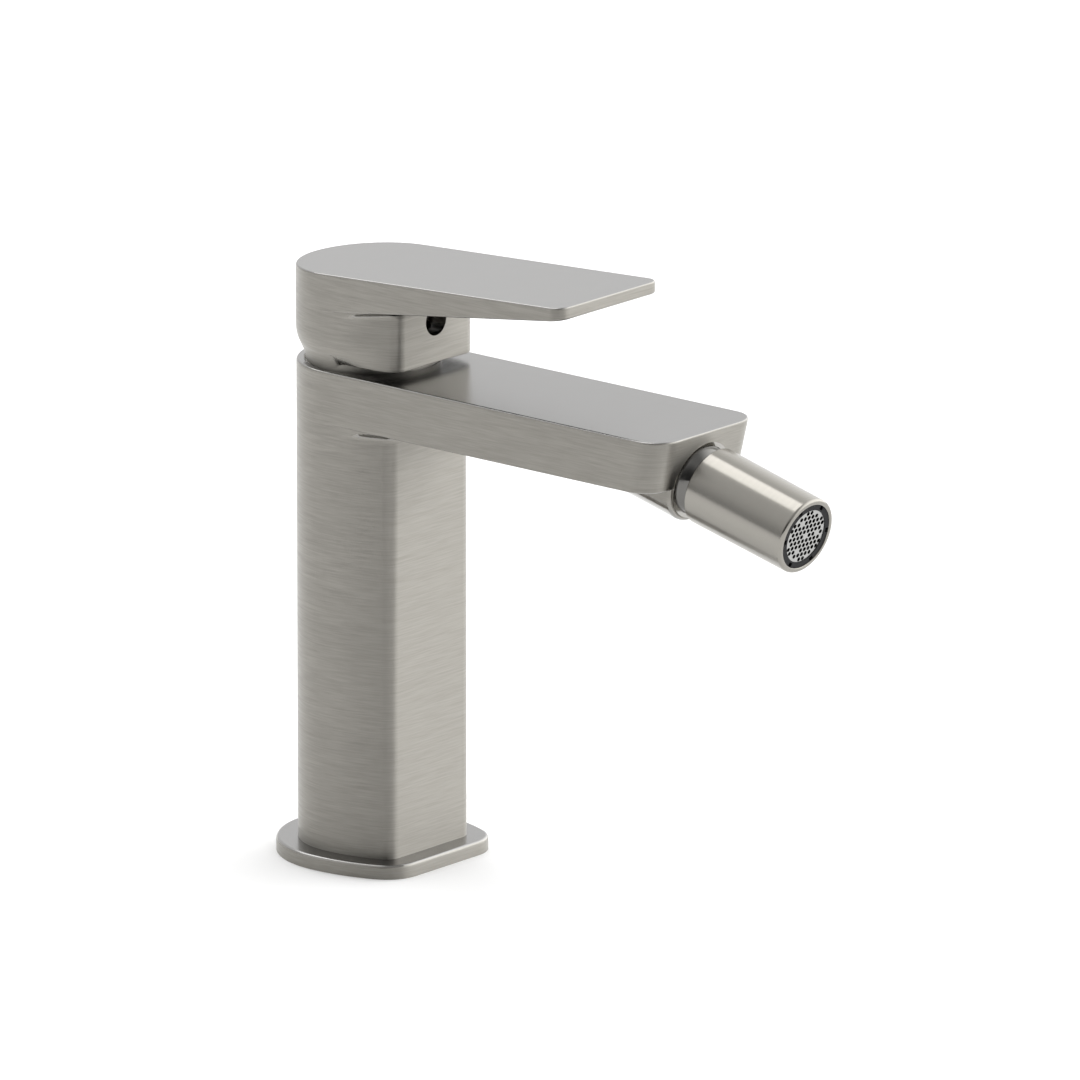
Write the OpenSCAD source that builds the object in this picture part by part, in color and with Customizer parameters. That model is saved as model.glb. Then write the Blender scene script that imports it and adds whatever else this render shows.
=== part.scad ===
// Single-lever bidet mixer with a ball-jointed nozzle, in millimetres.
// The deck is the plane z = 0, the column stands on the Z axis and the spout points along -Y.

/* [Body] */
// Radius of the round back of the column, and half the width of the spout
body_r = 21; // [20.8:0.05:21.4]
// Radius of the bowed sides of the column
side_bow_r = 45; // [42:0.5:60]
// Distance from the column's axis to its flat front
column_front = 20.5; // [20:0.1:21]
// Radius of the column's two front corners
column_corner_r = 4.5; // [3:0.25:6]
// Height of the body's top above the deck
body_top = 139.6; // [138:0.2:150]
// Rounding of the body's top edge
body_edge_r = 0.7; // [0.4:0.1:1.5]

/* [Spout] */
// Distance from the column's axis to the top edge of the spout's front
spout_reach = 120.1; // [110:0.5:135]
// Thickness of the spout
spout_t = 14.8; // [14.5:0.1:16.5]
// Radius of the spout's corners, seen from above
spout_corner_r = 8; // [5:0.5:10]
// Rounding of the spout's lower edges
spout_under_r = 0.5; // [0.3:0.1:1]
// Radius of the hollow curve where the column meets the spout's underside
column_flare_r = 4; // [2:0.1:4.4]
// Angle by which the nozzle points down
nozzle_angle = 14; // [12:0.5:16]
// Height of the nozzle's axis above the spout's underside, at the front face
nozzle_axis_h = 0.6; // [0.4:0.1:1.4]
// Radius of the boss that holds the ball
boss_r = 12.3; // [12.2:0.05:12.8]
// How far the boss's end stays behind the front face
boss_step = 0.2; // [0.1:0.05:0.5]
// Rounding of the boss's end
boss_edge_r = 1.1; // [0.5:0.1:1.1]

/* [Base flange] */
// Thickness of the flange
flange_t = 4; // [3.5:0.1:6]
// How far the flange stands out all round the column
flange_out = 6; // [5.5:0.25:9]
// Rounding of the flange's top edge
flange_edge_r = 1; // [0.5:0.1:1.5]
// Radius of the spigot that centres the column in the flange
spigot_r = 15.4; // [15:0.1:16]
// Width of the seal under the flange
base_seal_w = 2.6; // [2:0.1:3]
// Thickness of the seal under the flange
base_seal_t = 1.5; // [1.2:0.1:2]

/* [Water connections] */
// Radius of the two threaded hose inlets
inlet_r = 4.5; // [4:0.1:4.8]
// Depth of the two threaded hose inlets
inlet_depth = 14; // [10:1:20]
// How much deeper the right inlet is drilled than the left one
inlet_step = 0.5; // [0.4:0.1:1]
// Distance between the hose inlets
inlet_pitch = 15; // [13:0.5:16]
// Distance from the column's axis back to the hose inlets
inlet_back = 3; // [2:0.5:5]
// Radius of the threaded hole for the fixing stud
stud_r = 3.4; // [3:0.1:4]
// Depth of the threaded hole for the fixing stud
stud_depth = 16; // [12:1:24]
// Distance from the column's axis forward to the fixing stud
stud_front = 8; // [7:0.5:9]
// Radius of the water ways in the body
way_r = 2.2; // [1.8:0.1:2.4]

/* [Cartridge] */
// Radius of the cartridge
cartridge_r = 12.5; // [12.3:0.1:12.8]
// Height of the cartridge's wide lower part
cartridge_skirt = 15; // [14:0.5:18]
// Radius of the cartridge's neck
neck_r = 10.8; // [10.6:0.1:11]
// Wall of the cartridge's neck
neck_wall = 1.3; // [1.1:0.1:1.5]
// Thickness of each ceramic disc
disc_t = 3; // [2.5:0.1:3.5]
// Radius of the moving ceramic disc
moving_disc_r = 7.2; // [6.6:0.1:7.4]
// Radius of the threads of the ring nut
nut_r = 14; // [13.9:0.05:14.2]
// Height of the ring nut
nut_h = 5.2; // [4.5:0.1:6]
// Height of the lever's pivot above the body's top
pivot_h = 9.8; // [9.8:0.05:10.2]
// Radius of the cross pin on which the stem tilts
pin_r = 1.25; // [1:0.05:1.5]
// Side of the square stem
stem_w = 8; // [7:0.1:8.4]

/* [Lever] */
// Angle through which the lever lifts
lift_angle = 18; // [10:1:18]
// How far the lever and its hub stand out past the body's sides
lever_overhang = 0.1; // [0.05:0.05:0.3]
// Distance from the column's axis to the lever's tip
lever_reach = 84.7; // [70:0.5:95]
// Radius of the corners of the lever's tip
lever_corner_r = 4; // [2.5:0.25:6]
// Height of the lever's top above the body's top, over the axis
lever_top_h = 27.4; // [26:0.2:30]
// Height of the lever's underside above the body's top, over the axis
lever_under_h = 16.6; // [16:0.2:18]
// Rise of the lever's top for each millimetre forward
lever_top_rise = 0.053; // [0.04:0.005:0.08]
// Rise of the lever's underside for each millimetre forward
lever_under_rise = 0.139; // [0.12:0.005:0.15]
// Rounding of the lever's edges
lever_edge_r = 0.6; // [0.4:0.1:1]
// Distance from the column's axis to the flat front of the hub
hub_front = 22.6; // [22:0.1:24]
// Radius of the bowed sides of the hub
hub_bow_r = 47; // [44:0.5:60]
// Radius of the hub's two front corners
hub_corner_r = 4.5; // [3:0.25:6]
// Radius of the hub where it meets the body
hub_foot_r = 18.4; // [18.2:0.05:18.5]
// Radius of the curve that draws the back of the hub in to its foot
hub_curve_r = 10.8; // [10:0.1:11]
// Radius of the hollow curve where the hub meets the lever's underside
hub_flare_r = 2.8; // [1.5:0.1:3]
// Radius of the cavity in the hub
hub_bore_r = 16.8; // [16.6:0.05:17]
// Radius of the hole for the set screw in the hub's front
screw_hole_r = 4.2; // [3.4:0.1:4.4]
// Height of the set screw above the lever's pivot
screw_h = 4.2; // [4:0.1:4.6]
// Radius of the set screw
screw_r = 3; // [2.5:0.1:3.2]
// Length of the set screw
screw_len = 13; // [12:0.5:13]

/* [Nozzle] */
// Radius of the swivel ball
ball_r = 10.35; // [10.2:0.05:10.5]
// Distance from the spout's front face back to the ball's centre
ball_inset = 3; // [2.6:0.1:3.2]
// Outer radius of the nozzle
nozzle_r = 10.8; // [10.6:0.05:11.2]
// Radius of the nozzle's rear edge, where its taper starts
nozzle_rear_r = 11; // [10.8:0.05:11.4]
// Gap between the spout's front face and the nozzle
nozzle_gap = 3.9; // [3.5:0.1:4.2]
// Length of the nozzle
nozzle_len = 34.3; // [28:0.5:40]
// Radius of the nozzle's bore for the aerator
aerator_r = 9.25; // [9.1:0.05:9.3]
// Radius of the water way through the ball
ball_way_r = 5.5; // [4:0.1:6]
// Radius of the ball's threaded neck
ball_neck_r = 7.4; // [7:0.1:7.8]
// Length of the ball's threaded neck inside the nozzle
ball_neck_len = 7; // [5:0.5:9]

/* [Aerator] */
// Height of the aerator's housing
aerator_h = 9; // [7:0.5:11]
// Radius of the perforated plate
plate_r = 7.6; // [7.4:0.05:7.8]
// Thickness of the perforated plate
plate_t = 1.2; // [0.8:0.1:1.6]
// Radius of the plate's holes
plate_hole_r = 0.6; // [0.4:0.05:0.65]
// Distance between the plate's holes
plate_pitch = 1.57; // [1.5:0.01:1.7]

/* [Fits] */
// Radial clearance of pieces that turn or slide in each other
running_gap = 0.05; // [0.02:0.01:0.08]
// Gap between fixed pieces that are screwed or pushed together
seat_gap = 0.02; // [0.01:0.01:0.05]
// Clearance of moving pieces that don't touch
free_gap = 0.4; // [0.3:0.05:0.5]

/* [Hidden] */
$fn = 72;
nickel = "#b9b6b0";
brass = "#c9a35c";
plastic = "#3c3f43";
rubber = "#26282a";
ceramic = "#e9e6df";
steel = "#c8cacc";

// Facets of the half round back, of a corner and of a rounded edge
back_steps = 48;
corner_steps = 8;
edge_steps = 4;
// Facets of the curve above the hub's foot
hub_steps = 6;
// Facets of the hub's flat front, which let its foot stay round below it
foot_front_steps = 7;
// Facets of the hollow curves under the spout and the lever
flare_steps = 8;
// How far those curves stay in from the sides of the spout and the lever
flare_inset = 0.15;
// Overlap that makes a cut run clear of a face
past = 1;
// How far the column runs up into the spout, and the hub into the lever
column_joint = 2;
hub_joint = 2;
// Rise of the hub's underside from its foot to its front edge
foot_rise = 0.5;

spout_bottom = body_top - spout_t;
pivot_z = body_top + pivot_h;
lever_r = body_r + lever_overhang;
// The hub's foot hangs a little below the body's top, and turns and tilts in a round bowl
foot_dip = 0.2;
hub_foot_z = body_top - foot_dip;
hub_foot_span = sqrt(pow(hub_foot_r, 2) + pow(pivot_z - hub_foot_z, 2));
bowl_r = hub_foot_span + free_gap;
hub_dip_angle = lift_angle + atan((pivot_z - hub_foot_z) / hub_foot_r);
bowl_floor = pivot_z - hub_foot_span * sin(hub_dip_angle) - free_gap;

// The ring nut presses on the cartridge's shoulder, just under the bowl
nut_dip = 0.2;
// Run-out of the nut's thread below the shoulder
thread_end = 0.5;
// How far the cartridge's neck ends below the lever's pivot
neck_dip = 1.6;
nut_top = bowl_floor - nut_dip;
shoulder_z = nut_top - nut_h;
cartridge_z = shoulder_z - cartridge_skirt;
neck_bore_r = neck_r - neck_wall;
neck_top = pivot_z - neck_dip;
lip_t = 1.2;
base_t = 2.4;
port_seal_t = 1.2;
// The seals lift the cartridge's base off the bottom of its bore
seal_squeeze = 0.3;
seat_z = cartridge_z - base_t - seal_squeeze;
// Height of the fixed disc above the cartridge's shoulder
disc_rise = 3;
fixed_disc_z = shoulder_z + disc_rise;
// How much wider than the ports the moving disc's hollow is
hollow_stretch = 1.3;
driver_inset = 0.4;
moving_disc_z = fixed_disc_z + disc_t + running_gap;
driver_z = moving_disc_z + disc_t;
// The stem's lower end is a ball in the disc driver, so the disc slides as the stem tilts
stem_ball_r = 1.4;
stem_ball_gap = 0.3;
stem_ball_z = driver_z + stem_ball_r + stem_ball_gap;
driver_t = 2 * (stem_ball_r + stem_ball_gap);
disc_travel = (pivot_z - stem_ball_z) * sin(lift_angle);
rotor_z = driver_z + driver_t + free_gap;
rotor_top = neck_top - lip_t - running_gap;
// Width of the shoulder that keeps the rotor in the cartridge's neck
rotor_shoulder = 1.6;
rotor_neck_r = neck_bore_r - rotor_shoulder;
rotor_seal_r = 0.8;
rotor_seal_ring = neck_bore_r - running_gap - rotor_seal_r;
rotor_seal_rise = 2;
rotor_seal_z = rotor_z + rotor_seal_rise;
// Wall of the rotor's two ears above the cross pin, and beside it
ear_top_wall = 0.9;
ear_side_wall = 1.7;
ear_inset = 0.3;
ears_top = pivot_z + pin_r + ear_top_wall;
ears_w = 2 * (pin_r + ear_side_wall);
// Room in front of the stem's lower end, and behind its square part, as it tilts
stem_room_front = 1;
stem_room_back = 6;
// Room in the hub for the cartridge's neck and for the rotor's ears as the lever lifts
lift_room = 0.6;
hub_room_h = neck_r * sin(lift_angle) - (pivot_z - neck_top) * cos(lift_angle) + lift_room;
ears_room_h = (ears_top - pivot_z) * cos(lift_angle) + ears_w / 2 * sin(lift_angle) + lift_room;
// The square part of the stem starts below the pin and ends in the lever, under its top
stem_below_pin = 0.25;
stem_cover = 3.4;
stem_end_gap = 0.2;
stem_rod_inset = 0.4;
pin_inset = 0.6;
// The hole for the set screw is wide from just outside the hub's cavity
screw_hole_floor = 0.6;
hex_depth = 3;
// The ring nut's four slots for a key
nut_slot_w = 2;
nut_slot_depth = 1.8;
nut_slot_wall = 0.8;
port_r = 2.1;
port_ring = 6;
inlet_port_angles = [30, 150];
seal_ring_w = 0.9;

flange_top = flange_t;
// The flange's seal lies between the spigot and the flange's edge
seal_out = 3;
seal_r = (body_r + spigot_r) / 2 + seal_out;

// The boss runs back until it has sunk into the spout's underside
boss_sink = 2;
boss_len = (boss_r * cos(nozzle_angle) - nozzle_axis_h) / sin(nozzle_angle) + boss_sink;

// The ball's centre, and the way along the nozzle
face_z = spout_bottom + nozzle_axis_h;
face_y = -(spout_reach - (body_top - face_z) * tan(nozzle_angle));
ball_y = face_y + ball_inset * cos(nozzle_angle);
ball_z = face_z + ball_inset * sin(nozzle_angle);
nozzle_start = ball_inset + nozzle_gap;
nozzle_end = nozzle_start + nozzle_len;
socket_gap = running_gap;
// The ball is cut flat behind, just outside the edge of its water way
ball_back_wall = 0.2;
ball_back = sqrt(pow(ball_r, 2) - pow(ball_way_r, 2)) - ball_back_wall;
socket_r = ball_r + socket_gap;
// The ring fills the flat of the boss's end, reaches just behind the ball's centre and rests on a ledge
ring_edge = 0.1;
ring_behind = 0.3;
ring_ledge = 0.5;
pocket_depth = 3;
ring_r = boss_r - boss_edge_r - ring_edge;
ring_t = ball_inset + ring_behind;
pocket_r = ring_r - ring_ledge;
seat_t = 1.2;
seat_angle = 52;
seat_r = ball_r + socket_gap + seat_t;
seat_pocket_r = seat_r + socket_gap;
o_ring_r = 0.8;
o_ring_angle = 38;
// How far the aerator stays behind the nozzle's mouth
lip_inset = 0.4;
aerator_top = nozzle_end - lip_inset;
aerator_bottom = aerator_top - aerator_h;
gasket_t = 1.5;
gasket_z = aerator_bottom - gasket_t;
bore_r = 7.6;
// Rounding of the nozzle's mouth and of its rear edge, and the run-out of the thread in it
mouth_edge = 0.9;
rear_edge = 0.5;
nozzle_thread_end = 1;
// The aerator's inner wall, its slots for a key, and the two screens in it
aerator_bore_r = 6.6;
plate_inset = 0.2;
plate_z = aerator_top - plate_t - plate_inset;
slot_start = 0.5;
slot_w = 1.4;
slot_depth = 1.5;
screen_t = 0.5;
screen_depth = 2.2;
screen_step = 1.6;
gasket_bore_r = 6.2;
gasket_inset = 0.1;
plate_margin = 0.7;

// The water way crosses under the cartridge, rises in front of it and runs along the spout to the ball
cross_dip = 5;
riser_wall = 1;
gallery_rise = 6.4;
gallery_wide = 0.6;
cross_narrow = 0.2;
riser_narrow = 0.3;
gallery_end = 5;
gallery_r = way_r + gallery_wide;
gallery_z = spout_bottom + gallery_rise;
riser_y = -(nut_r + riser_wall + way_r);
cross_z = seat_z - cross_dip;

// Points of an arc, from angle a0 to angle a1
function arc(cx, cy, r, a0, a1, n) =
    [for (i = [0 : n]) let (a = a0 + (a1 - a0) * i / n) [cx + r * cos(a), cy + r * sin(a)]];

// A list without its first item, so that joined arcs share their end points
function rest(list) = [for (i = [1 : len(list) - 1]) list[i]];

// A bar with a half round back and a square front with rounded corners
function bar_plan(half_w, front, corner_r, inset) = concat(
    arc(0, 0, half_w - inset, 0, 180, back_steps),
    arc(corner_r - half_w, corner_r - front, corner_r - inset, 180, 270, corner_steps),
    arc(half_w - corner_r, corner_r - front, corner_r - inset, 270, 360, corner_steps));

// A half round back, sides that bow inward to the front, and a flat front
function bowed_plan(r, bow_r, front, corner_r, inset, front_steps = 1) =
    let (
        lean = asin((front - corner_r) / (bow_r - corner_r)),
        cx = (bow_r - corner_r) * cos(lean) - (bow_r - r)
    )
    concat(
        arc(0, 0, r - inset, 0, 180, back_steps),
        rest(arc(bow_r - r, 0, bow_r - inset, 180, 180 + lean, corner_steps)),
        rest(arc(-cx, corner_r - front, corner_r - inset, 180 + lean, 270, corner_steps)),
        [for (i = [1 : 1 : front_steps - 1]) [cx * (2 * i / front_steps - 1), inset - front]],
        arc(cx, corner_r - front, corner_r - inset, 270, 360 - lean, corner_steps),
        rest(rest_end(arc(r - bow_r, 0, bow_r - inset, 360 - lean, 360, corner_steps))));

// A list without its last item
function rest_end(list) = [for (i = [0 : len(list) - 2]) list[i]];

// Lifts a plan to height z, and further by rise for each millimetre forward
function ring_at(plan, z, rise = 0) = [for (p = plan) [p[0], p[1], z - rise * p[1]]];

// A solid skin over rings of points, from the lowest ring to the highest
module loft(rings) {
    n = len(rings[0]);
    top = (len(rings) - 1) * n;
    polyhedron(
        points = [for (ring = rings) each ring],
        faces = concat(
            [[for (i = [0 : n - 1]) i]],
            [for (k = [0 : len(rings) - 2], i = [0 : n - 1])
                [k * n + i, (k + 1) * n + i, (k + 1) * n + (i + 1) % n, k * n + (i + 1) % n]],
            [[for (i = [n - 1 : -1 : 0]) top + i]]));
}

// Depths and insets of a rounded edge, from the flat face out to the side
function rounding(r, steps = edge_steps) =
    [for (i = [0 : steps]) let (a = 90 * i / steps) [r * (1 - cos(a)), r * (1 - sin(a))]];

function reversed(list) = [for (i = [len(list) - 1 : -1 : 0]) list[i]];

// Draws along the nozzle: the origin is the ball's centre and +Z points out of the spout
module along_nozzle() {
    translate([0, ball_y, ball_z])
        rotate([90 + nozzle_angle, 0, 0])
            children();
}

module tube(r_out, r_in, z0, z1) {
    translate([0, 0, z0])
        difference() {
            cylinder(r = r_out, h = z1 - z0);
            translate([0, 0, -past])
                cylinder(r = r_in, h = z1 - z0 + 2 * past);
        }
}

module o_ring(ring, r, z) {
    translate([0, 0, z])
        rotate_extrude()
            translate([ring, 0])
                circle(r = r, $fn = 32);
}

// The three ports of the cartridge: two inlets at the back and the outlet in front
module at_ports() {
    for (a = concat(inlet_port_angles, [270]))
        rotate([0, 0, a])
            translate([port_ring, 0, 0])
                children();
}

// The spout's front is square to the nozzle, so it draws back towards the underside
function spout_ring(z, inset) =
    ring_at(bar_plan(body_r, spout_reach - (body_top - z) * tan(nozzle_angle), spout_corner_r, inset), z);

module spout_form() {
    loft(concat(
        [for (e = rounding(spout_under_r)) spout_ring(spout_bottom + e[0], e[1])],
        [for (e = reversed(rounding(body_edge_r))) spout_ring(body_top - e[0], e[1])]));
}

function column_plan(inset) = bowed_plan(body_r, side_bow_r, column_front, column_corner_r, inset);

// A plan spread in front to a wider one, but never past limit at the sides
function flared(plan, wide, limit) =
    [for (i = [0 : len(plan) - 1])
        plan[i][1] >= 0
            ? plan[i]
            : [sign(plan[i][0]) * min(abs(wide[i][0]), max(abs(plan[i][0]), limit)), wide[i][1]]];

function flared_column(out) = flared(column_plan(0), column_plan(-out), body_r - flare_inset);

// The column is upright and curves out in front into the spout's underside
module column_form() {
    loft(concat(
        [ring_at(column_plan(0), flange_top)],
        [for (e = rounding(column_flare_r, flare_steps)) ring_at(flared_column(e[0]), spout_bottom - e[1])],
        [ring_at(flared_column(column_flare_r), spout_bottom + spout_under_r + column_joint)]));
}

// The boss shows under the spout only, so it ends inside the spout's thickness
module boss_form() {
    intersection() {
        along_nozzle()
            boss_turned();
        translate([-body_r, -spout_reach, spout_bottom - 2 * boss_r])
            cube([2 * body_r, spout_reach, 2 * boss_r + spout_t / 2]);
    }
}

module boss_turned() {
    boss_end = ball_inset - boss_step;
    rotate_extrude()
        polygon(concat(
            [[0, boss_end], [0, ball_inset - boss_len], [boss_r, ball_inset - boss_len]],
            [for (e = reversed(rounding(boss_edge_r))) [boss_r - e[1], boss_end - e[0]]]));
}

module mixer_body() {
    color(nickel)
        difference() {
            union() {
                column_form();
                spout_form();
                cylinder(r = spigot_r, h = flange_top + past);
                boss_form();
            }
            cartridge_room();
            water_ways();
            along_nozzle()
                socket_room();
        }
}

// The bowl for the hub's foot, the nut's thread and the cartridge's bore
module cartridge_room() {
    intersection() {
        translate([0, 0, pivot_z])
            sphere(r = bowl_r);
        translate([0, 0, bowl_floor])
            cylinder(r = body_r, h = body_top - bowl_floor + past);
    }
    translate([0, 0, shoulder_z - thread_end])
        cylinder(r = nut_r + seat_gap, h = bowl_floor - shoulder_z + thread_end + past);
    translate([0, 0, seat_z])
        cylinder(r = cartridge_r + seat_gap, h = shoulder_z - seat_z);
}

module water_ways() {
    translate([-inlet_pitch / 2, inlet_back, -past])
        cylinder(r = inlet_r, h = inlet_depth + past);
    translate([inlet_pitch / 2, inlet_back, -past])
        cylinder(r = inlet_r, h = inlet_depth + inlet_step + past);
    for (a = inlet_port_angles)
        rotate([0, 0, a])
            translate([port_ring, 0, inlet_depth - past])
                cylinder(r = way_r, h = seat_z - inlet_depth + 2 * past);
    translate([0, -stud_front, -past])
        cylinder(r = stud_r, h = stud_depth + past);
    translate([0, -port_ring, cross_z])
        cylinder(r = way_r, h = seat_z - cross_z + past);
    translate([0, -port_ring, cross_z])
        rotate([90, 0, 0])
            cylinder(r = way_r - cross_narrow, h = -riser_y - port_ring);
    translate([0, riser_y, cross_z - way_r])
        cylinder(r = way_r - riser_narrow, h = gallery_z - cross_z + way_r);
    translate([0, riser_y, gallery_z])
        rotate([90, 0, 0])
            cylinder(r = gallery_r, h = riser_y - ball_y - seat_pocket_r + gallery_end);
}

// The pocket behind the ball is round, so the seat ring can turn in it
module socket_room() {
    translate([0, 0, ball_inset - ring_t])
        cylinder(r = ring_r + seat_gap, h = ring_t + past);
    translate([0, 0, -pocket_depth])
        cylinder(r = pocket_r, h = pocket_depth + ball_inset);
    intersection() {
        sphere(r = seat_pocket_r);
        translate([0, 0, -seat_pocket_r - past])
            cylinder(r = pocket_r, h = seat_pocket_r + past);
    }
    o_ring((seat_pocket_r + o_ring_r) * sin(o_ring_angle), o_ring_r + seat_gap,
        -(seat_pocket_r + o_ring_r) * cos(o_ring_angle));
}

module base_flange() {
    color(nickel)
        difference() {
            loft(concat(
                [ring_at(column_plan(-flange_out), 0)],
                [for (e = reversed(rounding(flange_edge_r)))
                    ring_at(column_plan(e[1] - flange_out), flange_top - e[0])]));
            translate([0, 0, -past])
                cylinder(r = spigot_r + seat_gap, h = flange_t + 2 * past);
            tube(seal_r + base_seal_w / 2, seal_r - base_seal_w / 2, -past, base_seal_t);
        }
}

module base_seal() {
    color(rubber)
        tube(seal_r + base_seal_w / 2 - seat_gap, seal_r - base_seal_w / 2 + seat_gap, 0,
            base_seal_t - seat_gap);
}

module cartridge_housing() {
    color(plastic)
        difference() {
            union() {
                translate([0, 0, cartridge_z])
                    cylinder(r = cartridge_r, h = cartridge_skirt);
                translate([0, 0, cartridge_z])
                    cylinder(r = neck_r, h = neck_top - cartridge_z);
            }
            translate([0, 0, cartridge_z - past])
                cylinder(r = neck_bore_r, h = neck_top - lip_t - cartridge_z + past);
            translate([0, 0, cartridge_z])
                cylinder(r = rotor_neck_r + running_gap, h = neck_top - cartridge_z + past);
        }
}

module cartridge_base() {
    color(plastic)
        difference() {
            union() {
                translate([0, 0, cartridge_z - base_t])
                    cylinder(r = cartridge_r, h = base_t - seat_gap);
                translate([0, 0, cartridge_z - base_t])
                    cylinder(r = neck_bore_r - seat_gap, h = fixed_disc_z - cartridge_z + base_t - seat_gap);
            }
            at_ports() {
                translate([0, 0, cartridge_z - base_t - past])
                    cylinder(r = port_r, h = fixed_disc_z - cartridge_z + base_t + 2 * past);
                translate([0, 0, cartridge_z - base_t - past])
                    cylinder(r = port_r + seal_ring_w, h = past + port_seal_t - seal_squeeze);
            }
        }
}

module port_seals() {
    color(rubber)
        at_ports()
            tube(port_r + seal_ring_w - seat_gap, port_r, seat_z, seat_z + port_seal_t - seat_gap);
}

module fixed_disc() {
    color(ceramic)
        difference() {
            translate([0, 0, fixed_disc_z])
                cylinder(r = neck_bore_r - seat_gap, h = disc_t);
            at_ports()
                translate([0, 0, fixed_disc_z - past])
                    cylinder(r = port_r, h = disc_t + 2 * past);
        }
}

// The moving disc starts behind the axis and slides forward as the lever lifts
module moving_disc() {
    color(ceramic)
        translate([0, disc_travel / 2, moving_disc_z])
            difference() {
                cylinder(r = moving_disc_r, h = disc_t);
                translate([0, 0, -past])
                    scale([hollow_stretch, 1, 1])
                        cylinder(r = port_r, h = past + disc_t / 2);
            }
}

module disc_driver() {
    color(plastic)
        translate([0, 0, driver_z + seat_gap])
            difference() {
                translate([0, disc_travel / 2, 0])
                    cylinder(r = moving_disc_r - driver_inset, h = driver_t);
                translate([-stem_ball_r - free_gap, -stem_ball_r - free_gap, -past])
                    cube([2 * (stem_ball_r + free_gap), 2 * (stem_ball_r + free_gap), driver_t + 2 * past]);
            }
}

module cartridge_rotor() {
    color(plastic)
        difference() {
            union() {
                translate([0, 0, rotor_z])
                    cylinder(r = neck_bore_r - running_gap, h = rotor_top - rotor_z);
                translate([0, 0, rotor_z])
                    cylinder(r = rotor_neck_r, h = neck_top - rotor_z);
                intersection() {
                    translate([-rotor_neck_r, -ears_w / 2, rotor_z])
                        cube([2 * rotor_neck_r, ears_w, ears_top - rotor_z]);
                    translate([0, 0, rotor_z])
                        cylinder(r = rotor_neck_r - ear_inset, h = ears_top);
                }
            }
            stem_slot();
            pin_bore();
            o_ring(rotor_seal_ring, rotor_seal_r + seat_gap, rotor_seal_z);
        }
}

module stem_slot() {
    room_w = stem_w + 2 * free_gap;
    room_y = (pivot_z - rotor_z) * sin(lift_angle) + stem_ball_r + stem_room_front;
    translate([-room_w / 2, -room_y, rotor_z - past])
        cube([room_w, room_y + stem_room_back, ears_top - rotor_z + 2 * past]);
}

module pin_bore() {
    translate([0, 0, pivot_z])
        rotate([0, 90, 0])
            cylinder(r = pin_r + seat_gap, h = 2 * rotor_neck_r + past, center = true);
}

module rotor_seal() {
    color(rubber)
        o_ring(rotor_seal_ring, rotor_seal_r, rotor_seal_z);
}

module stem() {
    stem_drop = stem_below_pin * stem_w;
    stem_top = body_top + lever_top_h - stem_cover - stem_end_gap;
    color(steel)
        difference() {
            union() {
                translate([-stem_w / 2, -stem_w / 2, pivot_z - stem_drop])
                    cube([stem_w, stem_w, stem_top - pivot_z + stem_drop]);
                translate([0, 0, stem_ball_z])
                    cylinder(r = stem_ball_r - stem_rod_inset, h = pivot_z - stem_ball_z);
                translate([0, 0, stem_ball_z])
                    sphere(r = stem_ball_r);
            }
            translate([0, 0, pivot_z])
                rotate([0, 90, 0])
                    cylinder(r = pin_r + running_gap, h = stem_w + past, center = true);
        }
}

module stem_pin() {
    color(steel)
        translate([0, 0, pivot_z])
            rotate([0, 90, 0])
                cylinder(r = pin_r, h = 2 * (rotor_neck_r - pin_inset), center = true);
}

module ring_nut() {
    color(brass)
        difference() {
            translate([0, 0, shoulder_z + seat_gap])
                cylinder(r = nut_r, h = nut_h);
            translate([0, 0, shoulder_z - past])
                cylinder(r = neck_r + seat_gap, h = nut_h + 2 * past);
            for (a = [0, 90, 180, 270])
                rotate([0, 0, a])
                    translate([neck_r + nut_slot_wall, -nut_slot_w / 2, shoulder_z + nut_h - nut_slot_depth])
                        cube([nut_r, nut_slot_w, nut_slot_depth + past]);
        }
}

function lever_ring(z, rise, inset) =
    ring_at(bar_plan(lever_r, lever_reach, lever_corner_r, inset), z, rise);

module lever_form() {
    loft(concat(
        [for (e = rounding(lever_edge_r))
            lever_ring(body_top + lever_under_h + e[0], lever_under_rise, e[1])],
        [for (e = reversed(rounding(lever_edge_r)))
            lever_ring(body_top + lever_top_h - e[0], lever_top_rise, e[1])]));
}

function hub_plan(inset) =
    bowed_plan(lever_r, hub_bow_r, hub_front, hub_corner_r, inset, foot_front_steps);

// How much of the curve the hub's side follows: all behind the axis and none at the flat front
function hub_share(y) = let (s = max(0, min(1, 1 + y / hub_front))) s * s * (3 - 2 * s);

function hub_ring(inset, z) =
    let (
        full = hub_plan(0),
        drawn = hub_plan(inset)
    )
    [for (i = [0 : len(full) - 1])
        let (p = full[i] + hub_share(full[i][1]) * (drawn[i] - full[i])) [p[0], p[1], z]];

function foot_ring(z) =
    [for (p = hub_plan(0)) [p[0] * hub_foot_r / norm(p), p[1] * hub_foot_r / norm(p), z]];

// The hub is upright in front, and its back draws in to a round foot
module hub_form() {
    curve_top = pivot_z - 0.2;
    foot_angle = acos(1 - (lever_r - hub_foot_r) / hub_curve_r);
    foot_top = curve_top - hub_curve_r * sin(foot_angle) - foot_rise;
    under_z = body_top + lever_under_h;
    function flared_hub(out) = flared(hub_plan(0), hub_plan(-out), lever_r - flare_inset);
    loft(concat(
        [foot_ring(hub_foot_z), foot_ring(foot_top)],
        [for (i = [hub_steps : -1 : 0]) let (a = foot_angle * i / hub_steps)
            hub_ring(hub_curve_r * (1 - cos(a)), curve_top - hub_curve_r * sin(a))],
        [for (e = rounding(hub_flare_r, flare_steps))
            ring_at(flared_hub(e[0]), under_z - e[1], lever_under_rise)],
        [ring_at(flared_hub(hub_flare_r), under_z + hub_joint, lever_under_rise)]));
}

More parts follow.
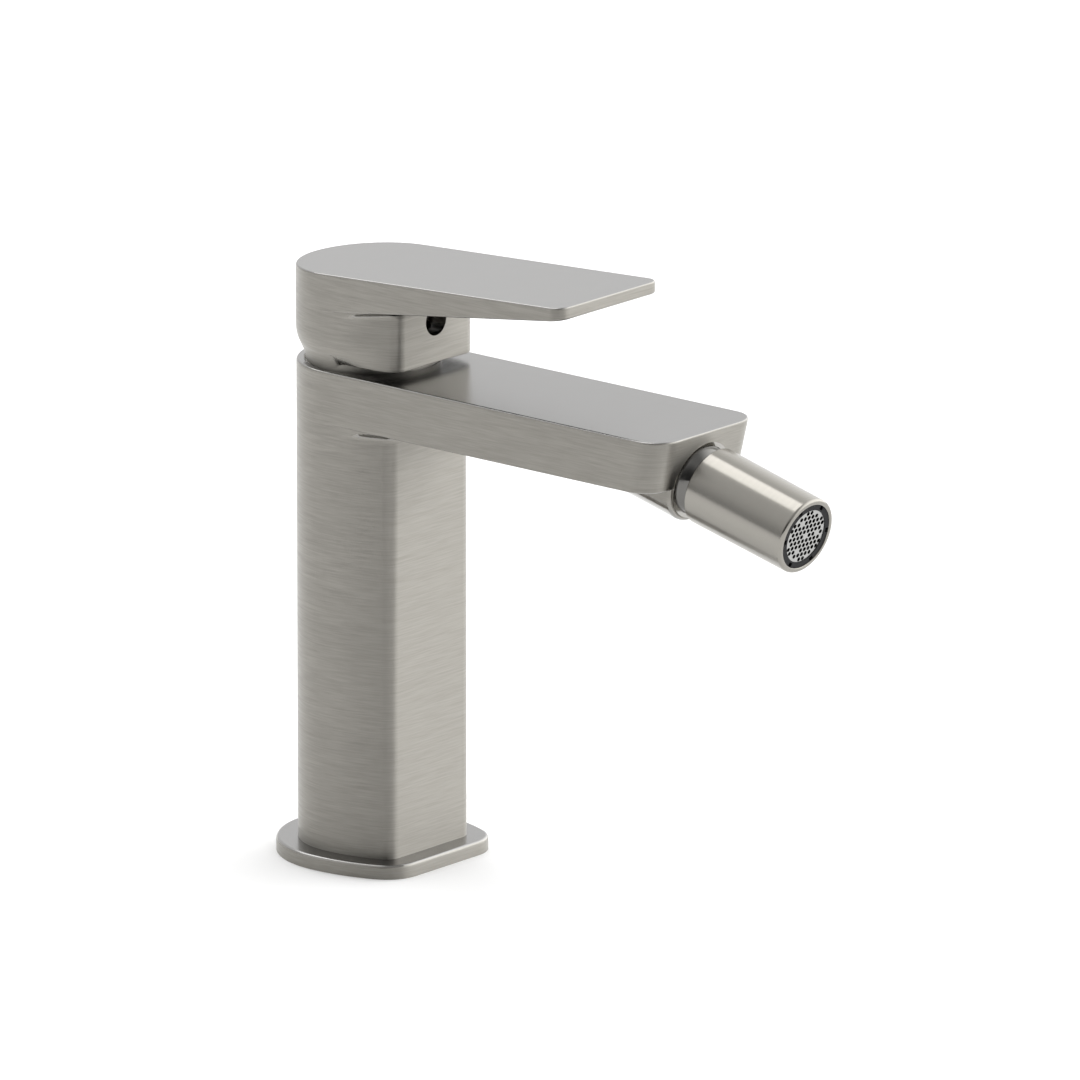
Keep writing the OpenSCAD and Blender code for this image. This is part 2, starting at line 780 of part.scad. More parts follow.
module lever_handle() {
    color(nickel)
        difference() {
            union() {
                hub_form();
                lever_form();
            }
            translate([0, 0, hub_foot_z - past])
                cylinder(r = hub_bore_r, h = pivot_z + hub_room_h - hub_foot_z + past);
            translate([0, 0, hub_foot_z - past])
                cylinder(r = rotor_neck_r + free_gap, h = pivot_z + ears_room_h - hub_foot_z + past);
            translate([-stem_w / 2 - seat_gap, -stem_w / 2 - seat_gap, body_top])
                cube([stem_w + 2 * seat_gap, stem_w + 2 * seat_gap, lever_top_h - stem_cover]);
            translate([0, 0, pivot_z + screw_h])
                rotate([90, 0, 0]) {
                    cylinder(r = screw_r + seat_gap, h = hub_front + past);
                    translate([0, 0, hub_bore_r + screw_hole_floor])
                        cylinder(r = screw_hole_r, h = hub_front);
                }
        }
}

module set_screw() {
    color(steel)
        translate([0, -stem_w / 2 - seat_gap, pivot_z + screw_h])
            rotate([90, 0, 0])
                difference() {
                    cylinder(r = screw_r, h = screw_len);
                    translate([0, 0, screw_len - hex_depth])
                        cylinder(r = screw_r / 2, h = hex_depth + past, $fn = 6);
                }
}

module socket_ring() {
    color(nickel)
        along_nozzle()
            difference() {
                translate([0, 0, ball_inset - ring_t + seat_gap])
                    cylinder(r = ring_r, h = ring_t - seat_gap);
                sphere(r = socket_r);
            }
}

module rear_seat() {
    color(ceramic)
        along_nozzle()
            difference() {
                intersection() {
                    sphere(r = seat_r);
                    translate([0, 0, -seat_r - past])
                        cylinder(r = seat_r * sin(seat_angle), h = seat_r * (1 - cos(seat_angle)) + past);
                }
                sphere(r = socket_r);
                translate([0, 0, -seat_r - past])
                    cylinder(r = ball_way_r, h = seat_r + past);
            }
}

module seat_o_ring() {
    color(rubber)
        along_nozzle()
            o_ring((seat_pocket_r + o_ring_r) * sin(o_ring_angle), o_ring_r,
                -(seat_pocket_r + o_ring_r) * cos(o_ring_angle));
}

module swivel_ball() {
    color(nickel)
        along_nozzle()
            difference() {
                union() {
                    intersection() {
                        sphere(r = ball_r);
                        translate([0, 0, -ball_back])
                            cylinder(r = ball_r + past, h = ball_back + nozzle_start - seat_gap);
                    }
                    cylinder(r = ball_neck_r, h = nozzle_start + ball_neck_len);
                }
                translate([0, 0, -ball_r])
                    cylinder(r = ball_way_r, h = 3 * ball_r);
            }
}

module nozzle_body() {
    thread_top = nozzle_start + ball_neck_len + nozzle_thread_end;
    color(nickel)
        along_nozzle()
            rotate_extrude()
                polygon([
                    [ball_neck_r + seat_gap, nozzle_start],
                    [nozzle_rear_r - rear_edge, nozzle_start],
                    [nozzle_rear_r, nozzle_start + rear_edge],
                    [nozzle_r, nozzle_end - mouth_edge],
                    [nozzle_r - mouth_edge / 3, nozzle_end - mouth_edge / 3],
                    [nozzle_r - mouth_edge, nozzle_end],
                    [aerator_r + seat_gap, nozzle_end],
                    [aerator_r + seat_gap, gasket_z],
                    [bore_r, gasket_z],
                    [bore_r, thread_top],
                    [ball_neck_r + seat_gap, thread_top]]);
}

module aerator_housing() {
    color(rubber)
        along_nozzle()
            difference() {
                translate([0, 0, aerator_bottom])
                    cylinder(r = aerator_r, h = aerator_h);
                translate([0, 0, aerator_bottom - past])
                    cylinder(r = aerator_bore_r, h = aerator_h + 2 * past);
                translate([0, 0, plate_z])
                    cylinder(r = plate_r + seat_gap, h = plate_t + past);
                for (a = [0 : 60 : 300])
                    rotate([0, 0, a])
                        translate([plate_r + slot_start, -slot_w / 2, aerator_top - slot_depth])
                            cube([aerator_r, slot_w, slot_depth + past]);
            }
}

module aerator_plate() {
    row = plate_pitch * sqrt(3) / 2;
    color(steel)
        along_nozzle()
            difference() {
                translate([0, 0, plate_z + seat_gap])
                    cylinder(r = plate_r, h = plate_t);
                for (i = [-5 : 5], j = [-5 : 5]) {
                    x = (i + j / 2) * plate_pitch;
                    y = j * row;
                    if (norm([x, y]) < plate_r - plate_margin && !is_blank(i, j))
                        translate([x, y, plate_z - past])
                            cylinder(r = plate_hole_r, h = plate_t + 2 * past, $fn = 16);
                }
            }
}

// The plate has no hole at its centre and at three places round it
function is_blank(i, j) = len([for (b = [[0, 0], [3, 0], [-3, 3], [0, -3]]) if (b == [i, j]) b]) > 0;

module aerator_screens() {
    color(steel)
        along_nozzle()
            for (k = [0 : 1])
                translate([0, 0, aerator_top - plate_t - screen_depth - screen_step * k])
                    cylinder(r = aerator_bore_r - seat_gap, h = screen_t);
}

module aerator_gasket() {
    color(rubber)
        along_nozzle()
            tube(aerator_r - gasket_inset, gasket_bore_r, gasket_z + seat_gap, aerator_bottom - seat_gap);
}

mixer_body();
base_flange();
base_seal();
cartridge_housing();
cartridge_base();
port_seals();
fixed_disc();
moving_disc();
disc_driver();
cartridge_rotor();
rotor_seal();
stem();
stem_pin();
ring_nut();
lever_handle();
set_screw();
socket_ring();
rear_seat();
seat_o_ring();
swivel_ball();
nozzle_body();
aerator_housing();
aerator_plate();
aerator_screens();
aerator_gasket();
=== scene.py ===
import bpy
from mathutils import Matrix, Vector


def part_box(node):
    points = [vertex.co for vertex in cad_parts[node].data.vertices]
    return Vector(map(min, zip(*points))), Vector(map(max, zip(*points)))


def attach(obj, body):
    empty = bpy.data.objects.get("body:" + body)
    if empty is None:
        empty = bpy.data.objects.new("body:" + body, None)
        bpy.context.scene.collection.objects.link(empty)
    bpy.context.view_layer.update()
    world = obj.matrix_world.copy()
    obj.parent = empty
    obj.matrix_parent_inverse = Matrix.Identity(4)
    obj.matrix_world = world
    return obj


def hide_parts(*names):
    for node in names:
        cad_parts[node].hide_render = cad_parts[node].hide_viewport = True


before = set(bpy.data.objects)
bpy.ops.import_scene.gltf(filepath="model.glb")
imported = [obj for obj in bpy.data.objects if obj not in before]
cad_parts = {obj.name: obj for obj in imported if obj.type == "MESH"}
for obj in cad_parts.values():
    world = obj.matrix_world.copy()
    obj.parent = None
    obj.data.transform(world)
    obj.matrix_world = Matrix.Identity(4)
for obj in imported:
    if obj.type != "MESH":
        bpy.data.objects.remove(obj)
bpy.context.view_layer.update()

import math

import bmesh
import bpy
from mathutils import Matrix, Vector

# Sizes are in millimetres here and become metres when a mesh is made.
MM = 0.001

# Driving sizes, read from the frame where it gives them
body_low, body_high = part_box("mixer_body")
_, flange_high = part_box("base_flange")
lever_low, lever_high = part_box("lever_handle")
BODY_R = body_high.x / MM
BODY_TOP = body_high.z / MM
SPOUT_REACH = -body_low.y / MM
FLANGE_TOP = flange_high.z / MM
FLANGE_OUT = flange_high.x / MM - BODY_R
LEVER_R = lever_high.x / MM
LEVER_REACH = -lever_low.y / MM
HUB_FOOT_Z = lever_low.z / MM

# Play between moving pieces and between seated ones, then how far a cutter
# reaches past a face, and how far joined forms reach into each other
FREE_GAP = 0.4
SEAT_GAP = 0.02
PAST = 1.0
JOIN = 2.0

# Column, spout and flange
SIDE_BOW_R = 45.0
COLUMN_FRONT = 20.5
COLUMN_CORNER_R = 4.5
BODY_EDGE_R = 0.7
SPOUT_T = 14.8
SPOUT_CORNER_R = 8.0
SPOUT_UNDER_R = 0.5
COLUMN_FLARE_R = 4.0
FLARE_INSET = 0.15
FLANGE_EDGE_R = 1.0

# Boss and ball socket at the spout's end
NOZZLE_ANGLE = 14.0
NOZZLE_AXIS_H = 0.6
BOSS_R = 12.3
BOSS_EDGE_R = 1.1
BOSS_STEP = 0.2
BALL_INSET = 3.0
SOCKET_R = 11.12
SOCKET_DEPTH = 8.0

# Lever and hub
LEVER_TOP_H = 27.4
LEVER_UNDER_H = 16.6
LEVER_TOP_RISE = 0.053
LEVER_UNDER_RISE = 0.139
LEVER_EDGE_R = 0.6
LEVER_CORNER_R = 4.0
PIVOT_H = 9.8
HUB_FRONT = 22.6
HUB_BOW_R = 47.0
HUB_CORNER_R = 4.5
HUB_FOOT_R = 18.4
HUB_CURVE_R = 10.8
HUB_CURVE_DROP = 0.2
HUB_FLARE_R = 2.8
HUB_BORE_R = 16.8
HUB_ROOM_H = 2.4
EARS_ROOM_R = 8.3
EARS_ROOM_H = 3.56
SCREW_HOLE_R = 4.2
SCREW_HOLE_PAST = 6.0
SCREW_H = 4.2

# The hub's run-out into its foot, softened over the part of the back whose
# share of the curve is above FOOT_EASE_FROM
FOOT_RISE = 0.5
FOOT_EASE = math.radians(15)
FOOT_EASE_FROM = 0.88
FOOT_PULL = 0.65
BACK_BLEND = 4.0
TANGENT_STEP = 0.02

# Bowl and nut thread in the body
BOWL_FLOOR = 133.8
NUT_R = 14.02
NUT_FLOOR = 127.9

# Underside
SPIGOT_R = 15.4
SEAL_R = 21.2
SEAL_W = 2.6
SEAL_T = 1.5
INLET_X = 7.5
INLET_Y = 3.0
INLET_R = 4.5
INLET_DEPTH = 14.0
STUD_Y = -8.0
STUD_R = 3.4
STUD_DEPTH = 16.0

# Nozzle
NOZZLE_R = 10.8
NOZZLE_REAR_R = 11.0
NOZZLE_GAP = 3.9
NOZZLE_LEN = 34.3
NOZZLE_REAR_EDGE_R = 0.35
NOZZLE_FRONT_EDGE_R = 0.9
MOUTH_EDGE_R = 0.25
NECK_R = 7.42
AERATOR_R = 9.27
AERATOR_BACK = 30.3

# Facets
BACK_STEPS = 96
CORNER_STEPS = 16
EDGE_STEPS = 8
ROUND_STEPS = 144
HOLE_STEPS = 96
INLET_STEPS = 48
NOZZLE_STEPS = 192
BOWL_STEPS = 32
HUB_STEPS = 16
FOOT_STEPS = 14
FOOT_FRONT_STEPS = 21

# Places that follow from the sizes
PIVOT_Z = BODY_TOP + PIVOT_H
BOWL_R = math.hypot(HUB_FOOT_R, PIVOT_Z - HUB_FOOT_Z) + FREE_GAP
SPOUT_BOTTOM = BODY_TOP - SPOUT_T
LEVER_UNDER = BODY_TOP + LEVER_UNDER_H
LEVER_OVER = BODY_TOP + LEVER_TOP_H
ANGLE = math.radians(NOZZLE_ANGLE)
BOSS_LEN = (BOSS_R * math.cos(ANGLE) - NOZZLE_AXIS_H) / math.sin(ANGLE) + JOIN
FACE_Z = SPOUT_BOTTOM + NOZZLE_AXIS_H
FACE_Y = -(SPOUT_REACH - (BODY_TOP - FACE_Z) * math.tan(ANGLE))
BALL_Y = FACE_Y + BALL_INSET * math.cos(ANGLE)
BALL_Z = FACE_Z + BALL_INSET * math.sin(ANGLE)

# Creases sharper than this many degrees stay crisp, and large faces lead the
# shading by this weight
CREASE_ANGLE = 28
FACE_WEIGHT = 80


# Outlines

def arc(cx, cy, r, a0, a1, n):
    """Points of an arc from angle a0 to a1, in degrees."""
    angles = [math.radians(a0 + (a1 - a0) * i / n) for i in range(n + 1)]
    return [(cx + r * math.cos(a), cy + r * math.sin(a)) for a in angles]


def bar_plan(half_w, front, corner_r, inset):
    """A bar with a half round back and a square front with rounded corners."""
    x, y, r = half_w - corner_r, corner_r - front, corner_r - inset
    return (
        arc(0, 0, half_w - inset, 0, 180, BACK_STEPS)
        + arc(-x, y, r, 180, 270, CORNER_STEPS)
        + arc(x, y, r, 270, 360, CORNER_STEPS)
    )


def bowed_plan(r, bow_r, front, corner_r, inset, front_steps=1):
    """A half round back, sides that bow inward to the front, and a flat front."""
    lean = math.degrees(math.asin((front - corner_r) / (bow_r - corner_r)))
    x = (bow_r - corner_r) * math.cos(math.radians(lean)) - (bow_r - r)
    y = corner_r - front
    side_r, turn_r = bow_r - inset, corner_r - inset
    return (
        arc(0, 0, r - inset, 0, 180, BACK_STEPS)
        + arc(bow_r - r, 0, side_r, 180, 180 + lean, CORNER_STEPS)[1:]
        + arc(-x, y, turn_r, 180 + lean, 270, CORNER_STEPS)[1:]
        + [(x * (2 * i / front_steps - 1), inset - front) for i in range(1, front_steps)]
        + arc(x, y, turn_r, 270, 360 - lean, CORNER_STEPS)
        + arc(r - bow_r, 0, side_r, 360 - lean, 360, CORNER_STEPS)[1:-1]
    )


def ring_at(plan, z, rise=0.0):
    """Lifts a plan to height z, and further by rise for each millimetre forward."""
    return [(x, y, z - rise * y) for x, y in plan]


def rounding(r):
    """Depths and insets of a rounded edge, from the flat face out to the side."""
    angles = [math.pi / 2 * i / EDGE_STEPS for i in range(EDGE_STEPS + 1)]
    return [(r * (1 - math.cos(a)), r * (1 - math.sin(a))) for a in angles]


def eased(x):
    """0 to 1 with soft ends as x goes from 0 to 1."""
    x = max(0.0, min(1.0, x))
    return x * x * (3 - 2 * x)


def curve_point(t, start, start_pull, end, end_pull):
    """The point at t, from 0 to 1, of a curve that leaves and arrives as pulled."""
    return (start * (2 * t**3 - 3 * t**2 + 1) + start_pull * (t**3 - 2 * t**2 + t)
            + end * (3 * t**2 - 2 * t**3) + end_pull * (t**3 - t**2))


# Meshes

def new_object(name, bm):
    """An object in the scene from a mesh that is under construction."""
    mesh = bpy.data.meshes.new(name)
    bmesh.ops.recalc_face_normals(bm, faces=bm.faces)
    bm.to_mesh(mesh)
    bm.free()
    obj = bpy.data.objects.new(name, mesh)
    bpy.context.scene.collection.objects.link(obj)
    return obj


def loft(name, rings):
    """A closed skin over rings of points, from the lowest ring to the highest."""
    bm = bmesh.new()
    rows = [[bm.verts.new([c * MM for c in p]) for p in ring] for ring in rings]
    n = len(rows[0])
    for low, high in zip(rows, rows[1:]):
        for i in range(n):
            j = (i + 1) % n
            bm.faces.new((low[i], low[j], high[j], high[i]))
    bm.faces.new(rows[0][::-1])
    bm.faces.new(rows[-1])
    return new_object(name, bm)


def revolve(name, profile, steps=ROUND_STEPS, closed=False):
    """A solid of revolution about Z from points (radius, height).

    The profile's ends lie on the axis, unless it is a closed ring.
    """
    bm = bmesh.new()
    points = profile if closed else profile[1:-1]
    columns = []
    for k in range(steps):
        a = 2 * math.pi * k / steps
        columns.append([
            bm.verts.new((r * MM * math.cos(a), r * MM * math.sin(a), z * MM))
            for r, z in points
        ])
    n = len(points)
    for k in range(steps):
        here, there = columns[k], columns[(k + 1) % steps]
        for i in range(n if closed else n - 1):
            j = (i + 1) % n
            bm.faces.new((here[i], there[i], there[j], here[j]))
    if not closed:
        bm.faces.new([c[0] for c in columns])
        bm.faces.new([c[-1] for c in columns])
    return new_object(name, bm)


def block(name, low, high):
    """A plain cutting box between two corners."""
    bm = bmesh.new()
    bmesh.ops.create_cube(bm, size=1.0)
    for v in bm.verts:
        v.co = [(a if c < 0 else b) * MM for c, a, b in zip(v.co, low, high)]
    return new_object(name, bm)


def along_nozzle(obj):
    """Puts an object's Z axis on the nozzle's axis, with its origin at the ball's centre."""
    turn = Matrix.Rotation(math.radians(90) + ANGLE, 4, "X")
    obj.data.transform(Matrix.Translation((0, BALL_Y * MM, BALL_Z * MM)) @ turn)
    return obj


def pillar(name, x, y, r, low, high, steps=HOLE_STEPS):
    """An upright cylinder at (x, y), from height low to high."""
    obj = revolve(name, [(0, low), (r, low), (r, high), (0, high)], steps)
    obj.data.transform(Matrix.Translation((x * MM, y * MM, 0)))
    return obj


def combine(obj, other, operation):
    """Joins, cuts or intersects obj with other, which is used up."""
    step = obj.modifiers.new("combine", "BOOLEAN")
    step.operation = operation
    step.solver = "EXACT"
    step.object = other
    depsgraph = bpy.context.evaluated_depsgraph_get()
    mesh = bpy.data.meshes.new_from_object(obj.evaluated_get(depsgraph))
    obj.modifiers.clear()
    old = obj.data
    obj.data = mesh
    bpy.data.meshes.remove(old)
    spent = other.data
    bpy.data.objects.remove(other)
    bpy.data.meshes.remove(spent)
    return obj


def smooth(obj):
    """Smooth shading that keeps creases and flat faces crisp."""
    obj.data.shade_smooth()
    obj.data.set_sharp_from_angle(angle=math.radians(CREASE_ANGLE))
    weighting = obj.modifiers.new("normals", "WEIGHTED_NORMAL")
    weighting.keep_sharp = True
    weighting.weight = FACE_WEIGHT
    return obj


# Shader nodes

def new_material(name):
    material = bpy.data.materials.new(name)
    material.use_nodes = True
    tree = material.node_tree
    return material, tree, tree.nodes["Principled BSDF"]


def feed(tree, socket, value):
    """Gives a socket its number or colour, or links it to the output it comes from."""
    if isinstance(value, bpy.types.NodeSocket):
        tree.links.new(value, socket)
    else:
        socket.default_value = value


def calc(tree, operation, *values):
    """The result of a math node on numbers or outputs."""
    node = tree.nodes.new("ShaderNodeMath")
    node.operation = operation
    for socket, value in zip(node.inputs, values):
        feed(tree, socket, value)
    return node.outputs[0]


def along(tree, vector, axis):
    """How far a vector reaches along axis."""
    node = tree.nodes.new("ShaderNodeVectorMath")
    node.operation = "DOT_PRODUCT"
    tree.links.new(vector, node.inputs[0])
    node.inputs[1].default_value = axis
    return node.outputs["Value"]


def ramp(tree, source, low, high, low_value, high_value, course="LINEAR"):
    """Takes low to high over to low_value to high_value, and stops there."""
    node = tree.nodes.new("ShaderNodeMapRange")
    node.interpolation_type = course
    for key, value in (("Value", source), ("From Min", low), ("From Max", high),
                       ("To Min", low_value), ("To Max", high_value)):
        feed(tree, node.inputs[key], value)
    return node.outputs["Result"]


def blend(tree, share, first, second):
    """A colour between first and second, each a tone or an output."""
    node = tree.nodes.new("ShaderNodeMix")
    node.data_type = "RGBA"
    tree.links.new(share, node.inputs["Factor"])
    for key, tone in (("A", first), ("B", second)):
        output = isinstance(tone, bpy.types.NodeSocket)
        feed(tree, node.inputs[key], tone if output else [*tone, 1])
    return node.outputs["Result"]


def lighter_darker(tree, share, tone, spread):
    """A tone that varies by spread to both sides."""
    darker = [c * (1 - spread) for c in tone]
    lighter = [min(1, c * (1 + spread)) for c in tone]
    return blend(tree, share, darker, lighter)


# How much fine noise the streaks hold
STREAK_DETAIL, STREAK_ROUGHNESS = 3.0, 0.55


def streaks(tree, stretch, turn, detail=STREAK_DETAIL):
    """Noise drawn out into fine lines, as a brush leaves them."""
    where = tree.nodes.new("ShaderNodeTexCoord")
    mapping = tree.nodes.new("ShaderNodeMapping")
    mapping.vector_type = "TEXTURE"
    mapping.inputs["Rotation"].default_value = turn
    mapping.inputs["Scale"].default_value = [1 / s for s in stretch]
    noise = tree.nodes.new("ShaderNodeTexNoise")
    for key, value in (("Scale", 1.0), ("Detail", detail),
                       ("Roughness", STREAK_ROUGHNESS)):
        noise.inputs[key].default_value = value
    tree.links.new(where.outputs["Object"], mapping.inputs["Vector"])
    tree.links.new(mapping.outputs["Vector"], noise.inputs["Vector"])
    return noise.outputs["Fac"]


def uneven(tree, shader, height, strength, distance):
    """Bumps of the given height field on a shader."""
    bump = tree.nodes.new("ShaderNodeBump")
    bump.inputs["Strength"].default_value = strength
    bump.inputs["Distance"].default_value = distance
    tree.links.new(height, bump.inputs["Height"])
    tree.links.new(bump.outputs["Normal"], shader.inputs["Normal"])


# Materials

# A face counts as brushed below the first and as flat above the second of
# these, by how far its normal reaches along the brush's axis
BRUSHED_BELOW, FLAT_ABOVE = 0.4, 0.85
# Broad streaks under the fine ones: their scale, share and detail
BROAD_SCALE, BROAD_SHARE, BROAD_DETAIL = 0.3, 0.25, 2.0
# The range of the streaks' noise, and how much of them a flat face keeps
GRAIN_LOW, GRAIN_HIGH = 0.42, 0.82
FLAT_GRAIN = 0.12
# How far gloss varies for each unit by which the tone does
GLOSS_SHARE = 0.8
# How much smoother a rounded edge is than the face beside it
EDGE_POLISH = 0.24
BRUSH_DEPTH = 0.00002

MOULD_GRAIN = (900, 900, 900)
MOULD_LOW, MOULD_HIGH = 0.3, 0.7
MOULD_SPREAD = 0.1
MOULD_GLOSS = 0.05
MOULD_BUMP, MOULD_DEPTH = 0.05, 0.0001


def off_flat(tree, axis):
    """1 on faces that the brush runs along, and 0 on faces square to axis."""
    shape = tree.nodes.new("ShaderNodeNewGeometry")
    square = calc(tree, "ABSOLUTE", along(tree, shape.outputs["Normal"], axis))
    return ramp(tree, square, BRUSHED_BELOW, FLAT_ABOVE, 1.0, 0.0)


def brushed_metal(name, tone, roughness, stretch, turn=(0, 0, 0), depth=0.12, spread=0.06,
                  sheen=0.7, axis=(0, 0, 1), flat_tone=None, flat_roughness=None):
    """Metal with fine lines that run round axis.

    Tone and gloss vary along the lines, and reflections spread across them.
    """
    material, tree, shader = new_material(name)
    brushed = off_flat(tree, axis)
    fine = streaks(tree, stretch, turn)
    broad = streaks(tree, [s * BROAD_SCALE for s in stretch], turn, BROAD_DETAIL)
    both = calc(tree, "MULTIPLY_ADD", broad, BROAD_SHARE, fine)
    grain = calc(tree, "MULTIPLY", ramp(tree, both, GRAIN_LOW, GRAIN_HIGH, -1.0, 1.0),
                 ramp(tree, brushed, 0.0, 1.0, FLAT_GRAIN, 1.0))

    shade = lighter_darker(tree, ramp(tree, grain, -1.0, 1.0, 0.0, 1.0), tone, spread)
    # Faces square to axis take flat_tone, the others the streaked tone. For the level nickel
    # the flat tone is painted shade on the tops, and for the plate the streaked tone is painted
    # shade on the walls of its holes.
    colour = blend(tree, brushed, flat_tone or tone, shade)
    tree.links.new(colour, shader.inputs["Base Color"])

    swing = GLOSS_SHARE * spread
    gloss = calc(tree, "ADD", ramp(tree, grain, -1.0, 1.0, swing, -swing),
                 ramp(tree, brushed, 0.0, 1.0, flat_roughness or roughness, roughness))
    # Rounded edges lie between flat and brushed, and handling has polished
    # them: this product is 1/4 halfway and 0 on both kinds of face
    edge = calc(tree, "MULTIPLY", brushed, calc(tree, "SUBTRACT", 1.0, brushed))
    worn = calc(tree, "MULTIPLY_ADD", edge, -4 * EDGE_POLISH, gloss)
    tree.links.new(worn, shader.inputs["Roughness"])

    uneven(tree, shader, grain, depth, BRUSH_DEPTH)
    shader.inputs["Metallic"].default_value = 1.0
    tree.links.new(calc(tree, "MULTIPLY", brushed, sheen), shader.inputs["Anisotropic"])
    lines = tree.nodes.new("ShaderNodeCombineXYZ")
    for socket, value in zip(lines.inputs, axis):
        socket.default_value = value
    tree.links.new(lines.outputs["Vector"], shader.inputs["Tangent"])
    return material


def moulded(name, tone, roughness, sheen=0.5):
    """Plastic, rubber or ceramic with a fine grain."""
    material, tree, shader = new_material(name)
    noise = streaks(tree, MOULD_GRAIN, (0, 0, 0))
    tree.links.new(lighter_darker(tree, noise, tone, MOULD_SPREAD),
                   shader.inputs["Base Color"])
    gloss = ramp(tree, noise, MOULD_LOW, MOULD_HIGH, roughness - MOULD_GLOSS,
                 roughness + MOULD_GLOSS)
    tree.links.new(gloss, shader.inputs["Roughness"])
    uneven(tree, shader, noise, MOULD_BUMP, MOULD_DEPTH)
    shader.inputs["Specular IOR Level"].default_value = sheen
    return material


NICKEL = (0.300, 0.288, 0.262)
# The nickel of the flat tops, darker and cooler than NICKEL: painted shade that stands in for
# the dimmer, cooler light the tops reflect
FLAT_NICKEL_PAINTED_SHADE = (0.275, 0.272, 0.266)
# How fine the streaks are along their three axes, in cells of noise per metre
LEVEL_LINES = (110, 110, 3000)
NOZZLE_LINES = (90, 90, 5000)
BALL_LINES = (80, 80, 1500)
BRASS_LINES = (80, 80, 2400)
SATIN = (900, 900, 900)
nozzle_turn = (math.pi / 2 + ANGLE, 0, 0)
nozzle_axis = (0, -math.cos(ANGLE), -math.sin(ANGLE))

level_brush = brushed_metal("level_brushed_nickel", NICKEL, 0.42, LEVEL_LINES, sheen=0.88,
                            flat_tone=FLAT_NICKEL_PAINTED_SHADE, flat_roughness=0.24)
turned_brush = brushed_metal("turned_nickel", NICKEL, 0.25, NOZZLE_LINES, nozzle_turn,
                             depth=0.03, spread=0.018, axis=nozzle_axis)
bright = brushed_metal("bright_nickel", (0.40, 0.39, 0.37), 0.14, BALL_LINES, nozzle_turn,
                       depth=0.0, spread=0.02, sheen=0.3, axis=nozzle_axis)
# The swivel ball's nickel is painted shade: a much darker copy of bright_nickel that stands in
# for the shade in the gap between the socket ring and the nozzle
ball_painted_shade = brushed_metal("ball_nickel_painted_shade", (0.15, 0.147, 0.14), 0.2, BALL_LINES, nozzle_turn,
                       depth=0.0, spread=0.02, sheen=0.3, axis=nozzle_axis)
# The plate's face keeps its own pale steel tone, and the walls of its holes are painted near
# black: painted shade for the dark inside the holes
plate_steel_painted_hole_shade = brushed_metal("plate_steel_painted_hole_shade", (0.02, 0.02, 0.02), 0.5, SATIN, depth=0.05,
                            spread=0.03, sheen=0.0, axis=nozzle_axis,
                            flat_tone=(0.40, 0.40, 0.392), flat_roughness=0.3)
steel = brushed_metal("satin_steel", (0.55, 0.55, 0.55), 0.25, SATIN, depth=0.05,
                      spread=0.03, sheen=0.0)
brass = brushed_metal("turned_brass", (0.70, 0.52, 0.25), 0.3, BRASS_LINES)
dark_plastic = moulded("dark_plastic", (0.012, 0.012, 0.013), 0.4, sheen=0.12)
black_rubber = moulded("black_rubber", (0.02, 0.02, 0.02), 0.7)
ceramic = moulded("lapped_ceramic", (0.82, 0.80, 0.76), 0.3)


def dress(obj, material):
    obj.data.materials.clear()
    obj.data.materials.append(material)
    return obj


def place(obj, body, node, material):
    """Smooths and dresses an object, and puts it on its body in a node's stead."""
    dress(smooth(obj), material)
    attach(obj, body)
    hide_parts(node)


# Forms

def column_plan(inset):
    return bowed_plan(BODY_R, SIDE_BOW_R, COLUMN_FRONT, COLUMN_CORNER_R, inset)


def hub_plan(inset):
    return bowed_plan(LEVER_R, HUB_BOW_R, HUB_FRONT, HUB_CORNER_R, inset, FOOT_FRONT_STEPS)


def flared(plan, wide, limit):
    """A plan spread in front to a wider one, but never past limit at the sides."""
    points = []
    for (x, y), (wide_x, wide_y) in zip(plan, wide):
        if y >= 0:
            points.append((x, y))
        else:
            reach = min(abs(wide_x), max(abs(x), limit))
            points.append((math.copysign(reach, x), wide_y))
    return points


def column_form():
    """Upright, and curved out in front into the spout's underside."""
    def spread(out):
        return flared(column_plan(0), column_plan(-out), BODY_R - FLARE_INSET)

    rings = [ring_at(column_plan(0), FLANGE_TOP)]
    rings += [ring_at(spread(out), SPOUT_BOTTOM - depth)
              for out, depth in rounding(COLUMN_FLARE_R)]
    rings.append(ring_at(spread(COLUMN_FLARE_R), SPOUT_BOTTOM + SPOUT_UNDER_R + JOIN))
    return loft("column", rings)


def spout_form():
    """A bar whose end is cut square to the nozzle's axis."""
    def ring(z, inset):
        front = SPOUT_REACH - (BODY_TOP - z) * math.tan(ANGLE)
        return ring_at(bar_plan(BODY_R, front, SPOUT_CORNER_R, inset), z)

    rings = [ring(SPOUT_BOTTOM + depth, inset) for depth, inset in rounding(SPOUT_UNDER_R)]
    rings += [ring(BODY_TOP - depth, inset) for depth, inset in rounding(BODY_EDGE_R)[::-1]]
    return loft("spout", rings)


def boss_form():
    """The round boss on the nozzle's axis, as far as it shows under the spout."""
    end = BALL_INSET - BOSS_STEP
    profile = [(0, BALL_INSET - BOSS_LEN), (BOSS_R, BALL_INSET - BOSS_LEN)]
    profile += [(BOSS_R - inset, end - depth) for depth, inset in rounding(BOSS_EDGE_R)[::-1]]
    profile.append((0, end))
    boss = along_nozzle(revolve("boss", profile))
    room = block("boss_room", (-BODY_R, -SPOUT_REACH, SPOUT_BOTTOM - 2 * BOSS_R),
                 (BODY_R, 0, SPOUT_BOTTOM + SPOUT_T / 2))
    return combine(boss, room, "INTERSECT")


